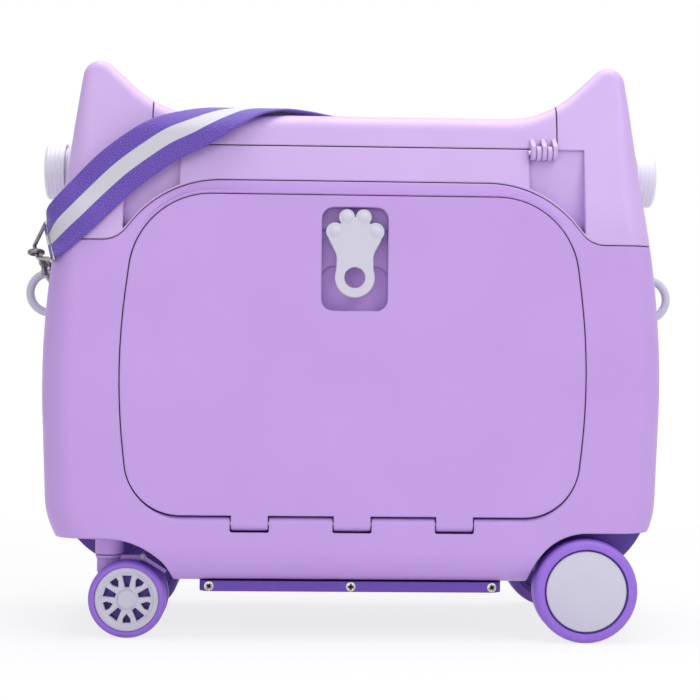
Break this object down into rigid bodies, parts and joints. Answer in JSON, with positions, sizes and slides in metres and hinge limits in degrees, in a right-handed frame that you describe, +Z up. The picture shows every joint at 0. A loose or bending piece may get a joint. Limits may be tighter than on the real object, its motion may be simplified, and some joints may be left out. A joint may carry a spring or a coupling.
{
  "type": "ride-on suitcase",
  "caption": "Hard child's ride-on suitcase with ears, fold-down front door, hinged seat lid, swivel casters, fixed wheels, paw latch and carry strap.",
  "frame": {"origin": "middle of the footprint on the floor", "axes": "+X along the length with the casters at -X, -Y to the front with the door, +Z up"},
  "size_m": [0.524, 0.2092, 0.4406],
  "materials": {
    "case_lilac": "satin moulded",
    "liner_lilac": "matte moulded",
    "dark_purple": "matte moulded",
    "white_plastic": "satin moulded",
    "tyre_purple": "soft",
    "bright_steel": "plated",
    "dark_nickel": "dark nickel",
    "strap_webbing": "woven"
  },
  "bodies": {
    "case": {"lower_shell": "case_lilac", "upper_frame": "case_lilac", "upper_tray": "liner_lilac", "bottom_runner": "dark_purple", "runner_screws": "bright_steel", "caster_housing": "dark_purple", "wheel_housing": "dark_purple", "knob_left": "white_plastic", "knob_right": "white_plastic", "knob_screws": "bright_steel", "strap_loop_left": "white_plastic", "strap_loop_right": "white_plastic", "lid_hinge_pins": "bright_steel", "door_hinge_rod": "bright_steel", "latch_keeper": "bright_steel", "rear_axle": "bright_steel", "strap_webbing": "strap_webbing", "strap_ring_left": "dark_nickel", "strap_ring_right": "dark_nickel", "strap_hook_left": "dark_nickel", "strap_hook_right": "dark_nickel", "caster_socket_front": "case_lilac", "caster_socket_back": "case_lilac"},
    "door": {"front_door": "case_lilac", "door_liner": "liner_lilac", "latch_pin": "bright_steel", "latch_spring": "bright_steel"},
    "latch_lever": {"paw_latch": "white_plastic"},
    "latch_slider": {"latch_bolt": "white_plastic"},
    "lid": {"top_lid": "case_lilac", "lid_liner": "liner_lilac"},
    "gate_left": {"hook_gate_left": "dark_nickel"},
    "gate_right": {"hook_gate_right": "dark_nickel"},
    "caster_front": {"caster_stem_front": "bright_steel", "caster_fork_front": "case_lilac", "caster_axle_front": "bright_steel", "brake_pin_front": "bright_steel"},
    "brake_front": {"brake_lever_front": "dark_purple"},
    "caster_wheel_front_near": {"caster_tyre_front_near": "tyre_purple", "caster_hub_front_near": "white_plastic"},
    "caster_wheel_front_far": {"caster_tyre_front_far": "tyre_purple", "caster_hub_front_far": "white_plastic"},
    "wheel_front": {"tyre_front": "tyre_purple", "rim_front": "dark_purple", "hub_cap_front": "white_plastic"},
    "caster_back": {"caster_stem_back": "bright_steel", "caster_fork_back": "case_lilac", "caster_axle_back": "bright_steel", "brake_pin_back": "bright_steel"},
    "brake_back": {"brake_lever_back": "dark_purple"},
    "caster_wheel_back_near": {"caster_tyre_back_near": "tyre_purple", "caster_hub_back_near": "white_plastic"},
    "caster_wheel_back_far": {"caster_tyre_back_far": "tyre_purple", "caster_hub_back_far": "white_plastic"},
    "wheel_back": {"tyre_back": "tyre_purple", "rim_back": "dark_purple", "hub_cap_back": "white_plastic"}
  },
  "joints": [
    {"name": "door_hinge", "type": "hinge", "parent": "case", "child": "door", "pos_m": [0, -0.0943, 0.089], "axis": [1, 0, 0], "range_deg": [0, 90], "deforming": ["latch_keeper"]},
    {"name": "lid_hinge", "type": "hinge", "parent": "case", "child": "lid", "pos_m": [0, -0.09195, 0.3715], "axis": [1, 0, 0], "range_deg": [0, 180], "deforming": ["strap_webbing"]},
    {"name": "latch_press", "type": "hinge", "parent": "door", "child": "latch_lever", "pos_m": [0, -0.0973, 0.311], "axis": [-1, 0, 0], "range_deg": [0, 24], "stiffness_Nm_per_rad": 0.08},
    {"name": "bolt_slide", "type": "slide", "parent": "door", "child": "latch_slider", "axis": [0, 0, -1], "range_m": [0, 0.00558], "deforming": ["latch_spring"]},
    {"name": "caster_swivel_front", "type": "hinge", "parent": "case", "child": "caster_front", "pos_m": [-0.185, -0.068, 0.07], "axis": [0, 0, 1], "continuous": true},
    {"name": "brake_press_front", "type": "hinge", "parent": "caster_front", "child": "brake_front", "pos_m": [-0.15867, -0.068, 0.0611], "axis": [0, 1, 0], "range_deg": [0, 4.5], "stiffness_Nm_per_rad": 0.15},
    {"name": "caster_roll_front_near", "type": "hinge", "parent": "caster_front", "child": "caster_wheel_front_near", "pos_m": [-0.17, -0.068, 0.0295], "axis": [0, 1, 0], "continuous": true},
    {"name": "caster_roll_front_far", "type": "hinge", "parent": "caster_front", "child": "caster_wheel_front_far", "pos_m": [-0.17, -0.068, 0.0295], "axis": [0, 1, 0], "continuous": true},
    {"name": "wheel_roll_front", "type": "hinge", "parent": "case", "child": "wheel_front", "pos_m": [0.178, -0.089, 0.0395], "axis": [0, 1, 0], "continuous": true},
    {"name": "caster_swivel_back", "type": "hinge", "parent": "case", "child": "caster_back", "pos_m": [-0.185, 0.068, 0.07], "axis": [0, 0, 1], "continuous": true},
    {"name": "brake_press_back", "type": "hinge", "parent": "caster_back", "child": "brake_back", "pos_m": [-0.15867, 0.068, 0.0611], "axis": [0, 1, 0], "range_deg": [0, 4.5], "stiffness_Nm_per_rad": 0.15},
    {"name": "caster_roll_back_near", "type": "hinge", "parent": "caster_back", "child": "caster_wheel_back_near", "pos_m": [-0.17, 0.068, 0.0295], "axis": [0, 1, 0], "continuous": true},
    {"name": "caster_roll_back_far", "type": "hinge", "parent": "caster_back", "child": "caster_wheel_back_far", "pos_m": [-0.17, 0.068, 0.0295], "axis": [0, 1, 0], "continuous": true},
    {"name": "wheel_roll_back", "type": "hinge", "parent": "case", "child": "wheel_back", "pos_m": [0.178, 0.089, 0.0395], "axis": [0, 1, 0], "continuous": true},
    {"name": "gate_left", "type": "hinge", "parent": "case", "child": "gate_left", "pos_m": [-0.24379, -0.01951, 0.29103], "axis": [0.9986, -0.0326, 0.0409], "range_deg": [0, 20], "stiffness_Nm_per_rad": 0.02},
    {"name": "gate_right", "type": "hinge", "parent": "case", "child": "gate_right", "pos_m": [0.24379, 0.01951, 0.29103], "axis": [-0.9986, 0.0326, 0.0409], "range_deg": [0, 20], "stiffness_Nm_per_rad": 0.02}
  ],
  "couplings": [
    {"joint": "bolt_slide", "follows": "latch_press", "m_per_rad": 0.0126}
  ]
}
